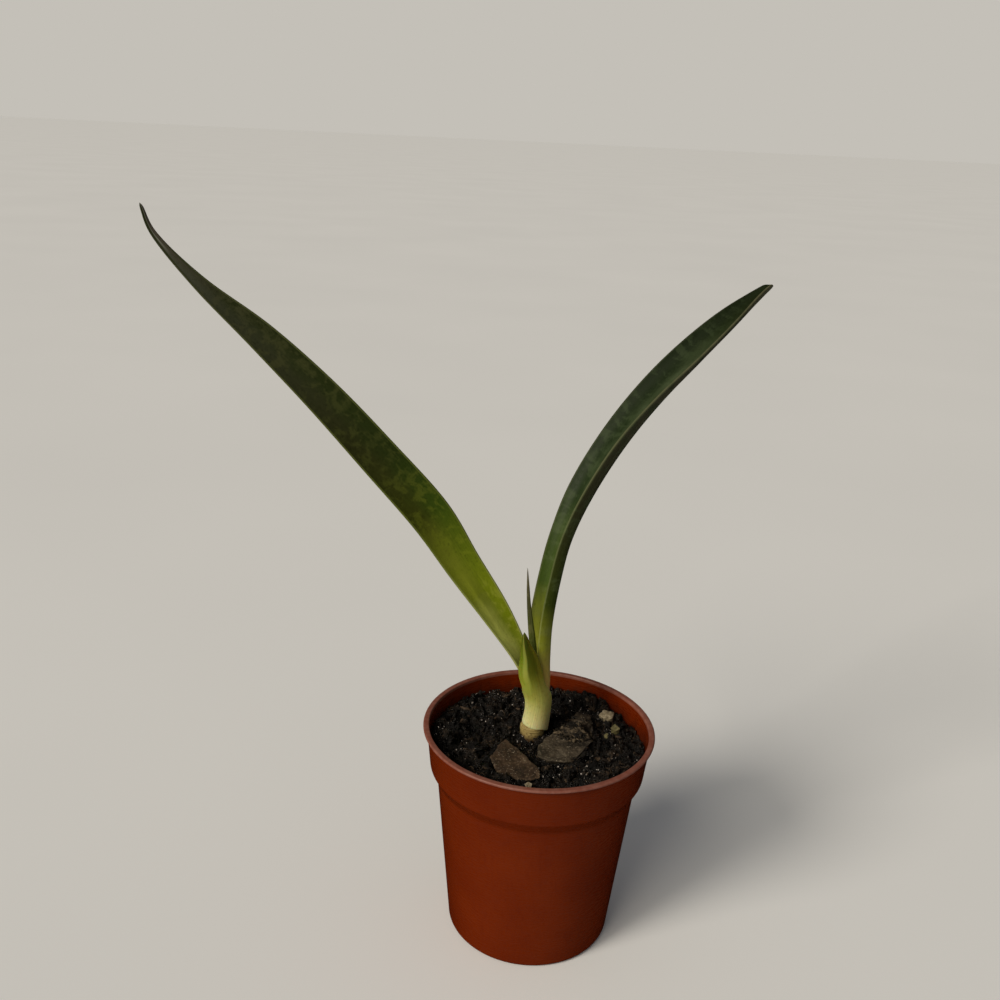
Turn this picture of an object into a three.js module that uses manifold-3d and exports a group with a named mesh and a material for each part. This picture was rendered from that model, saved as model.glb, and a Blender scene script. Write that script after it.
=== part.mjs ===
// Potted snake plant: a young plant with two long mottled leaves, a short sheath leaf
// and a new rolled leaf, standing in potting soil in a small round nursery pot.
// Millimetres, +Z up. The origin is the centre of the pot's flat underside.
import * as THREE from 'three';
import { ConvexGeometry } from 'three/addons/geometries/ConvexGeometry.js';
import { mergeVertices } from 'three/addons/utils/BufferGeometryUtils.js';
import Module from 'manifold-3d';

const wasm = await Module();
wasm.setup();

// ---- driving dimensions ----------------------------------------------------------------
const GAP = 0.3;                 // clearance between pieces that touch on the real thing

const POT_HEIGHT = 58.4;
const RIM_R = 29.75;             // outside of the thin lip
const LIP_H = 0.8;               // height of the lip
const LIP_W = 1.5;               // width of the lip
const COLLAR_TOP_R = 28.8;       // outside of the collar under the lip
const COLLAR_FOOT_R = 27.7;      // outside of the collar at its lower edge
const COLLAR_Z = 47.3;           // lower edge of the collar
const SHOULDER_H = 3.3;          // sloped step between collar and body
const BODY_TOP_R = 25.8;
const FOOT_R = 21.55;
const FOOT_EDGE = 1.4;           // rounding of the foot
const LIP_INNER_EDGE = 0.3;      // rounding of the lip's inner edge
const WALL = 0.6;
const FLOOR = 1.2;
const FLOOR_CORNER = 1.0;        // bevel between floor and wall, inside
const POT_SIDES = 60;
const DRAIN_HOLES = 5;
const DRAIN_R = 2.4;
const DRAIN_CIRCLE_R = 13.5;

const STEM_X = -1.3;             // where the plant leaves the soil
const STEM_Y = 5.0;
const NUB_Z = 55.5;              // top of the rhizome
const NUB_R = 3.25;
const ROOT_HOLE_R = NUB_R + 0.4;
const ROOT_HEAD = 3;             // depth below NUB_Z at which the roots start
const ROOT_LENGTH = 24;
const ROOT_SHORTER = 3;          // roots differ in length by steps of this
const ROOT_SPREAD = 1.9;
const ROOT_R = 0.75;
const ROOT_COUNT = 7;

const SOIL_Z = 53.2;             // mean level of the soil
const SOIL_RINGS = 18;
// Broad shape of the surface: [x, y, radius, height] of each rise or hollow.
const SOIL_FORMS = [
  [-17, 17, 10, 1.6],
  [-28, -3, 11, 2.6],
  [12, 21, 8, 2.2],
  [4, 18, 6, 0.8],
  [21, -15, 10, 1.6],
  [-14, -20, 9, 1.2],
  [-2, 1, 5, -1.4],
  [27, 6, 7, -0.8],
];
// Lumps, as products of two waves: [height, x and y pitch of the first, of the second].
const SOIL_LUMPS = [
  [0.35, 0.9, 0.0, -0.6, 0.8],
  [0.3, 1.7, -1.3, 0.9, 1.5],
  [0.25, 3.1, 1.9, -2.2, 2.7],
];

// A leaf is a list of stations along its keel, each
// [x, y, z, half width, wrap, turn, thickness]: the width is measured along the curved
// cross-section, wrap is half the angle that the section curls through, and turn twists
// the section about the keel, both in degrees.
const LEFT_LEAN = 180;
const LEFT_LEAF = [
  [-2.8, 4.7, 55.9, 1.9, 60, 10, 0.8],
  [-2.4, 5.0, 62.0, 1.7, 56, 0, 0.8],
  [-4.2, 5.9, 69.0, 2.6, 58, -28, 0.9],
  [-7.2, 5.9, 76.5, 3.4, 64, -50, 1.1],
  [-13.8, 5.2, 87.8, 4.8, 68, -60, 1.5],
  [-21.8, 5.0, 100.1, 5.1, 50, -68, 1.8],
  [-30.0, 5.0, 112.7, 5.6, 42, -74, 1.8],
  [-42.2, 5.0, 126.5, 5.3, 38, -78, 1.7],
  [-55.8, 5.0, 141.1, 4.7, 36, -80, 1.6],
  [-69.9, 5.0, 154.5, 3.7, 40, -80, 1.4],
  [-83.7, 5.0, 166.0, 1.9, 50, -78, 1.2],
  [-93.5, 5.0, 176.3, 0.8, 75, -66, 1.0],
  [-96.6, 5.0, 183.4, 0.4, 60, -40, 0.7],
];
const RIGHT_LEAN = 32;
const RIGHT_LEAF = [
  [0.9, 5.7, 55.9, 3.2, 98, -12, 0.8],
  [1.6, 5.6, 62.0, 3.5, 93, -14, 0.8],
  [1.9, 6.4, 67.5, 4.3, 97, -15, 0.9],
  [1.4, 6.9, 74.0, 5.2, 108, -13, 1.2],
  [1.1, 6.5, 84.3, 5.6, 105, -9, 1.6],
  [2.3, 7.2, 95.7, 5.4, 95, -11, 1.9],
  [4.6, 8.9, 106.7, 5.6, 82, -15, 2.0],
  [9.2, 11.7, 117.6, 6.6, 74, -15, 2.0],
  [16.3, 16.3, 129.1, 7.1, 68, -14, 2.0],
  [24.8, 21.7, 139.7, 6.9, 64, -7, 1.8],
  [34.4, 27.6, 149.5, 6.1, 62, 2, 1.6],
  [44.7, 33.9, 158.8, 4.6, 66, 3, 1.3],
  [53.6, 39.5, 166.2, 2.2, 75, -10, 1.0],
  [55.4, 40.6, 167.6, 0.9, 60, -10, 0.9],
];
const SHEATH_LEAN = -110;
const SHEATH_LEAF = [
  [-1.9, 1.9, 55.9, 6.9, 124, 0, 0.7],
  [-1.3, 1.9, 60.0, 6.4, 118, 2, 0.7],
  [-1.05, 1.5, 64.0, 5.2, 88, 12, 0.7],
  [-1.8, 0.9, 68.0, 3.5, 56, 22, 0.8],
  [-2.9, 0.9, 72.0, 3.6, 54, 18, 0.8],
  [-3.5, 0.8, 76.0, 2.7, 48, 16, 0.8],
  [-4.5, 0.9, 80.0, 1.4, 36, 8, 0.7],
  [-5.1, 1.3, 83.6, 0.35, 25, 0, 0.6],
];
const EDGE_THICKNESS = 0.6;
// The new leaf is still rolled up: [x, y, z, radius].
const NEW_LEAF = [
  [-0.9, 5.0, 55.9, 0.75],
  [-1.1, 5.0, 65.0, 0.8],
  [-1.9, 5.0, 73.0, 0.95],
  [-2.9, 5.0, 80.0, 0.95],
  [-3.7, 5.0, 85.5, 0.75],
  [-4.4, 5.0, 91.0, 0.5],
  [-5.1, 5.0, 99.6, 0.3],
];

const COLOURS = {
  pot: 0xa2431f, soil: 0x1d1916, rhizome: 0xc9b27a, sheath: 0x87964a, leftLeaf: 0x43531f,
  rightLeaf: 0x3b5140, newLeaf: 0x5f6a35, slate: 0x6a645c, bark: 0x4a4038, chip: 0xb9b193,
};

// ---- solids ------------------------------------------------------------------------------
function toSolid(geometry) {
  const g = geometry.clone();
  g.deleteAttribute('normal');
  g.deleteAttribute('uv');
  const merged = mergeVertices(g, 1e-4);
  const points = merged.attributes.position.array;
  const corners = merged.index.array;
  const triangles = [];
  let volume = 0;
  for (let i = 0; i < corners.length; i += 3) {
    const [a, b, c] = [corners[i], corners[i + 1], corners[i + 2]];
    if (a === b || b === c || c === a) continue;
    triangles.push([a, b, c]);
    const [p, q, r] = [a, b, c].map((v) => new THREE.Vector3().fromArray(points, 3 * v));
    volume += p.dot(q.cross(r));
  }
  if (volume < 0) triangles.forEach((t) => t.reverse());
  const mesh = new wasm.Mesh({
    numProp: 3,
    vertProperties: new Float32Array(points),
    triVerts: new Uint32Array(triangles.flat()),
  });
  return new wasm.Manifold(mesh);
}

function toGeometry(solid) {
  const { vertProperties, triVerts } = solid.getMesh();
  const g = new THREE.BufferGeometry();
  g.setAttribute('position', new THREE.BufferAttribute(new Float32Array(vertProperties), 3));
  g.setIndex(new THREE.BufferAttribute(new Uint32Array(triVerts), 1));
  g.computeVertexNormals();
  return g;
}

function indexed(points, triangles) {
  const g = new THREE.BufferGeometry();
  g.setAttribute('position', new THREE.Float32BufferAttribute(points.flat(), 3));
  g.setIndex(triangles.flat());
  return g;
}

// Lofts closed rings of equal length; the ends are closed by strips that join
// point j to its partner across the ring.
function loft(rings) {
  const n = rings[0].length;
  const triangles = [];
  for (let i = 0; i + 1 < rings.length; i += 1) {
    for (let j = 0; j < n; j += 1) {
      const a = i * n + j;
      const b = i * n + (j + 1) % n;
      triangles.push([a, b, b + n], [a, b + n, a + n]);
    }
  }
  const last = (rings.length - 1) * n;
  for (let j = 0; j + 1 < n / 2; j += 1) {
    const partner = n - 1 - j;
    triangles.push([j, partner, j + 1], [j + 1, partner, partner - 1]);
    triangles.push([last + j, last + j + 1, last + partner]);
    triangles.push([last + j + 1, last + partner - 1, last + partner]);
  }
  return indexed(rings.flat(), triangles);
}

// Catmull-Rom curve through whole rows of numbers; u counts rows.
function along(rows, u) {
  const i = Math.min(Math.floor(u), rows.length - 2);
  const t = u - i;
  return rows[i].map((_, c) => {
    const p1 = rows[i][c];
    const p2 = rows[i + 1][c];
    const p0 = i > 0 ? rows[i - 1][c] : 2 * p1 - p2;
    const p3 = i + 2 < rows.length ? rows[i + 2][c] : 2 * p2 - p1;
    return 0.5 * (2 * p1 + (p2 - p0) * t + (2 * p0 - 5 * p1 + 4 * p2 - p3) * t * t
      + (3 * p1 - p0 - 3 * p2 + p3) * t * t * t);
  });
}

// ---- leaves ------------------------------------------------------------------------------
const STEPS_PER_STATION = 4;
const CELLS_ACROSS = 8;
const TANGENT_REACH = 0.1;       // in stations, to either side of a section
const ROLLED_STEPS = 3;
const ROLLED_SIDES = 8;

function leafBlade(stations, lean) {
  const heading = THREE.MathUtils.degToRad(lean);
  const sideways = new THREE.Vector3(Math.sin(heading), -Math.cos(heading), 0);
  const steps = (stations.length - 1) * STEPS_PER_STATION;
  const rings = [];
  for (let i = 0; i <= steps; i += 1) {
    const u = i / STEPS_PER_STATION;
    const [x, y, z, half, wrapDeg, turnDeg, thick] = along(stations, u);
    const before = along(stations, Math.max(u - TANGENT_REACH, 0));
    const after = along(stations, Math.min(u + TANGENT_REACH, stations.length - 1));
    const tangent = new THREE.Vector3(
      after[0] - before[0], after[1] - before[1], after[2] - before[2]).normalize();
    const across = sideways.clone().addScaledVector(tangent, -tangent.dot(sideways)).normalize();
    const inward = new THREE.Vector3().crossVectors(across, tangent);
    const turn = THREE.MathUtils.degToRad(turnDeg);
    const side = across.clone().multiplyScalar(Math.cos(turn)).addScaledVector(inward, -Math.sin(turn));
    const face = inward.clone().multiplyScalar(Math.cos(turn)).addScaledVector(across, Math.sin(turn));
    const wrap = THREE.MathUtils.degToRad(wrapDeg);
    const radius = half / wrap;
    const edge = Math.min(EDGE_THICKNESS, thick);
    const point = (k, sign) => {
      const r = radius + sign * (edge + (thick - edge) * (1 - k * k)) / 2;
      const s = r * Math.sin(wrap * k);
      const f = radius - r * Math.cos(wrap * k);
      return [x + side.x * s + face.x * f, y + side.y * s + face.y * f, z + side.z * s + face.z * f];
    };
    const ks = Array.from({ length: CELLS_ACROSS + 1 }, (_, j) => -1 + 2 * j / CELLS_ACROSS);
    rings.push([...ks.map((k) => point(k, 1)), ...ks.reverse().map((k) => point(k, -1))]);
  }
  return toSolid(loft(rings));
}

function rolledLeaf(stations) {
  const steps = (stations.length - 1) * ROLLED_STEPS;
  const rings = [];
  for (let i = 0; i <= steps; i += 1) {
    const [x, y, z, r] = along(stations, i / ROLLED_STEPS);
    rings.push(Array.from({ length: ROLLED_SIDES }, (_, j) => {
      const a = 2 * Math.PI * (j + 0.5) / ROLLED_SIDES;
      return [x + r * Math.cos(a), y + r * Math.sin(a), z];
    }));
  }
  return toSolid(loft(rings));
}

// ---- pot ---------------------------------------------------------------------------------
function arc(cx, cz, r, from, to, steps) {
  return Array.from({ length: steps + 1 }, (_, i) => {
    const a = THREE.MathUtils.degToRad(from + (to - from) * i / steps);
    return new THREE.Vector2(cx + r * Math.cos(a), cz + r * Math.sin(a));
  });
}

const lipZ = POT_HEIGHT - LIP_H;
const shoulderZ = COLLAR_Z - SHOULDER_H;
const wallR = (z) => {                       // inside of the pot wall at height z
  const mix = THREE.MathUtils.mapLinear;
  if (z > COLLAR_Z) return mix(z, COLLAR_Z, lipZ, COLLAR_FOOT_R, COLLAR_TOP_R) - WALL;
  if (z > shoulderZ) return mix(z, shoulderZ, COLLAR_Z, BODY_TOP_R, COLLAR_FOOT_R) - WALL;
  return mix(z, 0, shoulderZ, FOOT_R, BODY_TOP_R) - WALL;
};

function pot() {
  const lipR = LIP_H / 2;
  const profile = [
    new THREE.Vector2(0, 0),
    ...arc(FOOT_R - FOOT_EDGE, FOOT_EDGE, FOOT_EDGE, -90, -5, 4),
    new THREE.Vector2(BODY_TOP_R, shoulderZ),
    new THREE.Vector2(COLLAR_FOOT_R, COLLAR_Z),
    new THREE.Vector2(COLLAR_TOP_R, lipZ),
    ...arc(RIM_R - lipR, lipZ + lipR, lipR, -45, 90, 6),
    ...arc(RIM_R - LIP_W + LIP_INNER_EDGE, POT_HEIGHT - LIP_INNER_EDGE, LIP_INNER_EDGE, 90, 180, 2),
    new THREE.Vector2(wallR(lipZ), lipZ),
    new THREE.Vector2(wallR(COLLAR_Z), COLLAR_Z),
    new THREE.Vector2(wallR(shoulderZ), shoulderZ),
    new THREE.Vector2(wallR(FLOOR + FLOOR_CORNER), FLOOR + FLOOR_CORNER),
    new THREE.Vector2(wallR(FLOOR) - FLOOR_CORNER, FLOOR),
    new THREE.Vector2(0, FLOOR),
  ];
  let body = toSolid(new THREE.LatheGeometry(profile, POT_SIDES).rotateX(Math.PI / 2));
  for (let i = 0; i < DRAIN_HOLES; i += 1) {
    const a = 2 * Math.PI * (i + 0.5) / DRAIN_HOLES;
    const hole = new THREE.CylinderGeometry(DRAIN_R, DRAIN_R, 4 * FLOOR, 16).rotateX(Math.PI / 2);
    hole.translate(DRAIN_CIRCLE_R * Math.cos(a), DRAIN_CIRCLE_R * Math.sin(a), 0);
    body = body.subtract(toSolid(hole));
  }
  return body;
}

// ---- soil --------------------------------------------------------------------------------
function soilHeight(x, y) {
  let z = SOIL_Z;
  for (const [fx, fy, r, h] of SOIL_FORMS) z += h * Math.exp(-((x - fx) ** 2 + (y - fy) ** 2) / (r * r));
  for (const [h, ax, ay, bx, by] of SOIL_LUMPS) {
    z += h * Math.sin(ax * x + ay * y) * Math.cos(bx * x + by * y);
  }
  return z;
}

function soilBody() {
  const bottom = FLOOR + GAP;
  const points = [[0, 0, bottom]];
  const triangles = [];
  const edge = (z) => wallR(z) - GAP;
  const ring = (r, z) => {
    const first = points.length;
    for (let j = 0; j < POT_SIDES; j += 1) {
      const a = 2 * Math.PI * j / POT_SIDES;
      const [x, y] = [r(a) * Math.cos(a), r(a) * Math.sin(a)];
      points.push([x, y, z(x, y)]);
    }
    return first;
  };
  const surfaceR = (a) => {
    const guess = wallR(SOIL_Z);
    return edge(soilHeight(guess * Math.cos(a), guess * Math.sin(a)));
  };
  const rings = [
    ring(() => edge(FLOOR) - FLOOR_CORNER - GAP, () => bottom),
    ring(() => edge(FLOOR + FLOOR_CORNER), () => FLOOR + FLOOR_CORNER + GAP),
    ring(() => edge(shoulderZ), () => shoulderZ + 0.4 * GAP),
    ring(() => edge(COLLAR_Z), () => COLLAR_Z + 0.5 * GAP),
  ];
  for (let i = SOIL_RINGS; i > 0; i -= 1) {
    rings.push(ring((a) => surfaceR(a) * i / SOIL_RINGS, soilHeight));
  }
  const top = points.push([0, 0, soilHeight(0, 0)]) - 1;
  for (let j = 0; j < POT_SIDES; j += 1) {
    const next = (j + 1) % POT_SIDES;
    triangles.push([0, rings[0] + next, rings[0] + j]);
    for (let i = 0; i + 1 < rings.length; i += 1) {
      const [a, b] = [rings[i] + j, rings[i] + next];
      const [c, d] = [rings[i + 1] + next, rings[i + 1] + j];
      triangles.push([a, b, c], [a, c, d]);
    }
    const last = rings[rings.length - 1];
    triangles.push([last + j, last + next, top]);
  }
  return toSolid(indexed(points, triangles));
}

// ---- rhizome with its roots ------------------------------------------------------------------
function rhizome() {
  const profile = [
    new THREE.Vector2(0, -5), new THREE.Vector2(1.6, -4.6), new THREE.Vector2(2.7, -3.4),
    new THREE.Vector2(3.2, -2.2), new THREE.Vector2(NUB_R, -1.2), new THREE.Vector2(3.15, -0.4),
    new THREE.Vector2(2.8, 0), new THREE.Vector2(0, 0),
  ];
  let body = toSolid(new THREE.LatheGeometry(profile, 24).rotateX(Math.PI / 2)
    .translate(STEM_X, STEM_Y, NUB_Z));
  for (let i = 0; i < ROOT_COUNT; i += 1) {
    const a = 2 * Math.PI * i / (ROOT_COUNT - 1);
    const spread = i < ROOT_COUNT - 1 ? ROOT_SPREAD : 0;
    const length = ROOT_LENGTH - ROOT_SHORTER * (i % 3);
    const root = new THREE.CylinderGeometry(ROOT_R, ROOT_R / 2, length, 7).rotateX(Math.PI / 2);
    root.translate(
      STEM_X + spread * Math.cos(a), STEM_Y + spread * Math.sin(a), NUB_Z - ROOT_HEAD - length / 2);
    body = body.add(toSolid(root));
  }
  return body;
}

// ---- stones, bark and chips --------------------------------------------------------------------
// Each is a convex chip: corners of its top and of its underside, [x, y, height above SOIL_Z].
const CHIPS = {
  stone_left: {
    colour: 'slate',
    corners: [
      [-9.8, -3.2, 1.3], [-8.3, -2.2, 1.7], [-5.3, -6.8, 2.1], [-2.6, -11.6, 1.9], [0.3, -15.0, 1.3],
      [0.3, -17.6, 0.6], [-4.7, -18.9, 0.5], [-10.6, -16.4, 0.9], [-12.2, -10.6, 1.4],
      [-9.2, -4.6, -1.2], [-4.2, -8.6, -1.4], [-1.5, -15.6, -1.4], [-5.2, -17.2, -1.4], [-10.6, -12.6, -1.3],
    ],
  },
  stone_right: {
    colour: 'slate',
    corners: [
      [-0.2, -4.1, 1.5], [2.4, 0.2, 1.7], [6.2, 3.2, 1.8], [9.6, 6.0, 1.7], [13.9, -1.0, 1.5],
      [11.6, -4.9, 1.6], [8.9, -9.9, 1.2], [6.4, -10.8, 1.1], [2.3, -10.2, 1.0], [-0.7, -8.4, 1.1],
      [1.4, -3.4, -1.3], [7.2, 3.2, -1.2], [11.6, -0.6, -1.3], [8.2, -8.2, -1.4], [2.2, -8.2, -1.4],
    ],
  },
  bark_piece: {
    colour: 'bark',
    corners: [
      [8.6, 7.6, 2.6], [10.6, 10.4, 3.4], [13.6, 9.6, 3.2], [14.6, 5.6, 2.8], [12.2, 5.0, 3.3],
      [9.0, 9.2, 0.2], [12.4, 11.2, 0.0], [14.9, 8.6, -0.2], [14.6, 4.8, 0.1], [11.4, 6.2, 0.4],
    ],
  },
  chip_pale: {
    colour: 'chip',
    corners: [
      [16.4, 11.4, 2.1], [18.0, 13.6, 2.6], [20.6, 12.6, 2.2], [20.0, 10.4, 1.6], [17.8, 10.3, 2.0],
      [16.8, 12.0, 0.2], [18.6, 13.2, 0.1], [20.2, 11.6, 0.0], [18.2, 10.8, -0.1],
    ],
  },
  chip_tan: {
    colour: 'chip',
    corners: [
      [19.2, 6.4, 1.3], [20.6, 8.0, 1.7], [21.8, 6.4, 1.3], [20.6, 5.3, 1.0],
      [19.6, 6.6, -0.6], [20.8, 7.4, -0.6], [21.3, 6.2, -0.7],
    ],
  },
  chip_small: {
    colour: 'chip',
    corners: [
      [17.2, 3.2, 1.0], [18.2, 4.2, 1.2], [19.0, 3.0, 0.8], [18.0, 2.3, 0.7],
      [17.6, 3.2, -0.6], [18.4, 3.6, -0.6], [18.4, 2.7, -0.7],
    ],
  },
  pebble_front: {
    colour: 'chip',
    corners: [
      [-3.7, -20.8, 1.0], [-2.8, -20.0, 1.2], [-1.8, -20.6, 1.0], [-2.0, -22.0, 0.7], [-3.2, -22.1, 0.8],
      [-3.2, -20.9, -0.7], [-2.2, -20.8, -0.7], [-2.6, -21.7, -0.8],
    ],
  },
};

function chip(corners, grow = 0) {
  const points = corners.map(([x, y, h]) => new THREE.Vector3(x, y, SOIL_Z + h));
  const middle = points.reduce((sum, p) => sum.add(p), new THREE.Vector3()).divideScalar(points.length);
  for (const p of points) {
    const out = p.clone().sub(middle);
    p.add(out.setLength(grow));
    if (grow > 0) p.z += Math.sign(p.z - middle.z) * GAP;
  }
  return toSolid(new ConvexGeometry(points));
}

// ---- assembly ------------------------------------------------------------------------------
const solids = { pot: pot(), rhizome: rhizome() };
solids.right_leaf = leafBlade(RIGHT_LEAF, RIGHT_LEAN);
solids.left_leaf = leafBlade(LEFT_LEAF, LEFT_LEAN);
solids.sheath_leaf = leafBlade(SHEATH_LEAF, SHEATH_LEAN);
solids.new_leaf = rolledLeaf(NEW_LEAF);

const holeBottom = NUB_Z - ROOT_HEAD - ROOT_LENGTH - GAP;
const holeLength = POT_HEIGHT - holeBottom;
const rootHole = new THREE.CylinderGeometry(ROOT_HOLE_R, ROOT_HOLE_R, holeLength, 28)
  .rotateX(Math.PI / 2).translate(STEM_X, STEM_Y, holeBottom + holeLength / 2);
solids.soil = soilBody().subtract(toSolid(rootHole));
for (const [name, { corners }] of Object.entries(CHIPS)) {
  solids[name] = chip(corners);
  solids.soil = solids.soil.subtract(chip(corners, 2 * GAP));
}

const FINISH = {
  pot: ['pot', 0.4], soil: ['soil', 0.95], rhizome: ['rhizome', 0.7], sheath_leaf: ['sheath', 0.45],
  left_leaf: ['leftLeaf', 0.45], right_leaf: ['rightLeaf', 0.4], new_leaf: ['newLeaf', 0.5],
};
const plant = new THREE.Group();
for (const [name, solid] of Object.entries(solids)) {
  const [colour, roughness] = FINISH[name] ?? [CHIPS[name].colour, 0.85];
  const material = new THREE.MeshStandardMaterial({ color: COLOURS[colour], roughness, metalness: 0 });
  const mesh = new THREE.Mesh(toGeometry(solid), material);
  mesh.name = name;
  plant.add(mesh);
}

export default plant;
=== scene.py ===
import random
from math import cos, exp, hypot, pi, radians, sin, sqrt, tau

import bmesh
import bpy
import numpy as np
from mathutils import Matrix, Vector, noise


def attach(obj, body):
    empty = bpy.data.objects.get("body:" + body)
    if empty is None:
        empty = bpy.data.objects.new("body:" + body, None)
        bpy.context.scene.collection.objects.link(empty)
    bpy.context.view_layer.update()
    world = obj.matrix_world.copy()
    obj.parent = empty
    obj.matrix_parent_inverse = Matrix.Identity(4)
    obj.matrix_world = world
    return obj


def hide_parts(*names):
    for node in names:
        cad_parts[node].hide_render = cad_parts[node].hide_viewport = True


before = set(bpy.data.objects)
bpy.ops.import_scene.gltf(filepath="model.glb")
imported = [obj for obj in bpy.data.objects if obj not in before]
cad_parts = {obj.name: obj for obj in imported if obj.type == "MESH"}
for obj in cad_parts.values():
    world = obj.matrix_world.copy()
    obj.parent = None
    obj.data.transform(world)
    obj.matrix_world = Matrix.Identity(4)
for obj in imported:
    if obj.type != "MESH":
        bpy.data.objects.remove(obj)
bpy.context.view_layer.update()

MM = 0.001
scene = bpy.context.scene
NOISE_SEED = 1
noise.seed_set(NOISE_SEED)       # without it noise_vector differs from run to run

# ---- the pot, as in the CAD model ----
POT_HEIGHT = 58.4
RIM_R = 29.75
LIP_H = 0.8
LIP_W = 1.5
COLLAR_TOP_R = 28.8
COLLAR_FOOT_R = 27.7
COLLAR_Z = 47.3
SHOULDER_H = 3.3
BODY_TOP_R = 25.8
FOOT_R = 21.55
FOOT_EDGE = 1.4
WALL = 0.6
FLOOR = 1.2
DRAIN_HOLES = 5
DRAIN_R = 2.4
DRAIN_CIRCLE_R = 13.5
SHOULDER_Z = COLLAR_Z - SHOULDER_H
LIP_Z = POT_HEIGHT - LIP_H
POT_SECTORS = 180
# How far the corners of its wall are rounded.
SOFT_SHOULDER = 0.8
SOFT_COLLAR = 0.35
SOFT_LIP = 0.25
SOFT_LIP_INSIDE = 0.3
SOFT_INSIDE = 0.5

# ---- the plant ----
STEM_X = -1.3
STEM_Y = 5.0
NUB_Z = 55.5
NUB_R = 3.25
ROOT_COUNT = 7
ROOT_R = 0.75
ROOT_HEAD = 3.0
ROOT_LENGTH = 24.0
ROOT_SHORTER = 3.0
ROOT_SPREAD = 1.9
NUB_RINGS = 40
NUB_SECTORS = 48
# Outline of the nub: distance from its axis, height above NUB_Z.
NUB_OUTLINE = [(0.0, -5.0), (1.9, -4.9), (2.85, -4.3), (3.1, -3.2), (3.2, -2.2), (NUB_R, -1.2),
               (3.3, -0.6), (3.05, 0.0), (2.6, 0.3), (0.0, 0.3)]

# Stations along a leaf's keel: x, y, z, half width, wrap, turn (degrees), thickness.
LEFT_LEAN = 180
LEFT_LEAF = [
    [-2.8, 4.7, 55.9, 1.9, 60, 10, 0.8],
    [-2.4, 5, 62, 1.7, 56, 0, 0.8],
    [-4.2, 5.9, 69, 2.6, 58, -28, 0.9],
    [-7.2, 5.9, 76.5, 3.4, 64, -50, 1.1],
    [-13.8, 5.2, 87.8, 4.8, 68, -60, 1.5],
    [-21.8, 5, 100.1, 5.1, 50, -68, 1.8],
    [-30, 5, 112.7, 5.6, 42, -74, 1.8],
    [-42.2, 5, 126.5, 5.3, 38, -78, 1.7],
    [-55.8, 5, 141.1, 4.7, 36, -80, 1.6],
    [-69.9, 5, 154.5, 3.7, 40, -80, 1.4],
    [-83.7, 5, 166, 1.9, 50, -78, 1.2],
    [-93.5, 5, 176.3, 0.8, 75, -66, 1],
    [-96.6, 5, 183.4, 0.4, 60, -40, 0.7],
]
RIGHT_LEAN = 32
RIGHT_LEAF = [
    [0.9, 5.7, 55.9, 3.2, 98, -12, 0.8],
    [1.6, 5.6, 62, 3.5, 93, -14, 0.8],
    [1.9, 6.4, 67.5, 4.3, 97, -15, 0.9],
    [1.4, 6.9, 74, 5.2, 108, -13, 1.2],
    [1.1, 6.5, 84.3, 5.6, 105, -9, 1.6],
    [2.3, 7.2, 95.7, 5.4, 95, -11, 1.9],
    [4.6, 8.9, 106.7, 5.6, 82, -15, 2],
    [9.2, 11.7, 117.6, 6.6, 74, -15, 2],
    [16.3, 16.3, 129.1, 7.1, 68, -14, 2],
    [24.8, 21.7, 139.7, 6.9, 64, -7, 1.8],
    [34.4, 27.6, 149.5, 6.1, 62, 2, 1.6],
    [44.7, 33.9, 158.8, 4.6, 66, 3, 1.3],
    [53.6, 39.5, 166.2, 2.2, 75, -10, 1],
    [55.4, 40.6, 167.6, 0.9, 60, -10, 0.9],
]
SHEATH_LEAN = -110
SHEATH_LEAF = [
    [-1.9, 1.9, 55.9, 6.9, 124, 0, 0.7],
    [-1.3, 1.9, 60, 6.4, 118, 2, 0.7],
    [-1.05, 1.5, 64, 5.2, 88, 12, 0.7],
    [-1.8, 0.9, 68, 3.5, 56, 22, 0.8],
    [-2.9, 0.9, 72, 3.6, 54, 18, 0.8],
    [-3.5, 0.8, 76, 2.7, 48, 16, 0.8],
    [-4.5, 0.9, 80, 1.4, 36, 8, 0.7],
    [-5.1, 1.3, 83.6, 0.35, 25, 0, 0.6],
]
EDGE_THICKNESS = 0.6
LEAF_RINGS = 14                  # between two stations
LEAF_CELLS = 18                  # across each face
MARGIN_POINTS = 5
TIP_LENGTH = 1.6
LEAF_GLOSS = 0.14
# The right corner of the sheath's foot: where it begins, its width and its drop. The rest of the
# foot rises, and both end this far up the leaf.
SHEATH_CORNER_X = 1.2
SHEATH_CORNER_WIDTH = 2.2
SHEATH_DROP = 1.5
SHEATH_RISE = 0.1
SHEATH_FOOT = 3.0
# The new leaf is still rolled up: x, y, z, radius.
NEW_LEAF = [
    [-0.9, 5, 55.9, 0.75],
    [-1.1, 5, 65, 0.8],
    [-1.9, 5, 73, 0.95],
    [-2.9, 5, 80, 0.95],
    [-3.7, 5, 85.5, 0.75],
    [-4.4, 5, 91, 0.5],
    [-5.1, 5, 99.6, 0.3],
]
ROLL_RINGS = 10
ROLL_SIDES = 28
ROLL_OVERLAP = 0.16
ROLL_SEAM = -60
ROLL_TIP_LENGTH = 6.0

# ---- the soil and what lies on it ----
SOIL_Z = 53.2
GAP = 0.3
# Broad rises and hollows: x, y, radius, height.
SOIL_FORMS = [
    [-17, 17, 10, 1.6],
    [-28, -3, 11, 2.6],
    [12, 21, 8, 2.2],
    [4, 18, 6, 0.8],
    [21, -15, 10, 1.6],
    [-14, -20, 9, 1.2],
    [-2, 1, 5, -1.4],
    [27, 6, 7, -0.8],
]
# Lumps, as products of two waves: height, x and y pitch of the first, of the second.
SOIL_LUMPS = [
    [0.35, 0.9, 0, -0.6, 0.8],
    [0.3, 1.7, -1.3, 0.9, 1.5],
    [0.25, 3.1, 1.9, -2.2, 2.7],
]
SOIL_RINGS = 130
SOIL_SECTORS = 450
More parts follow.
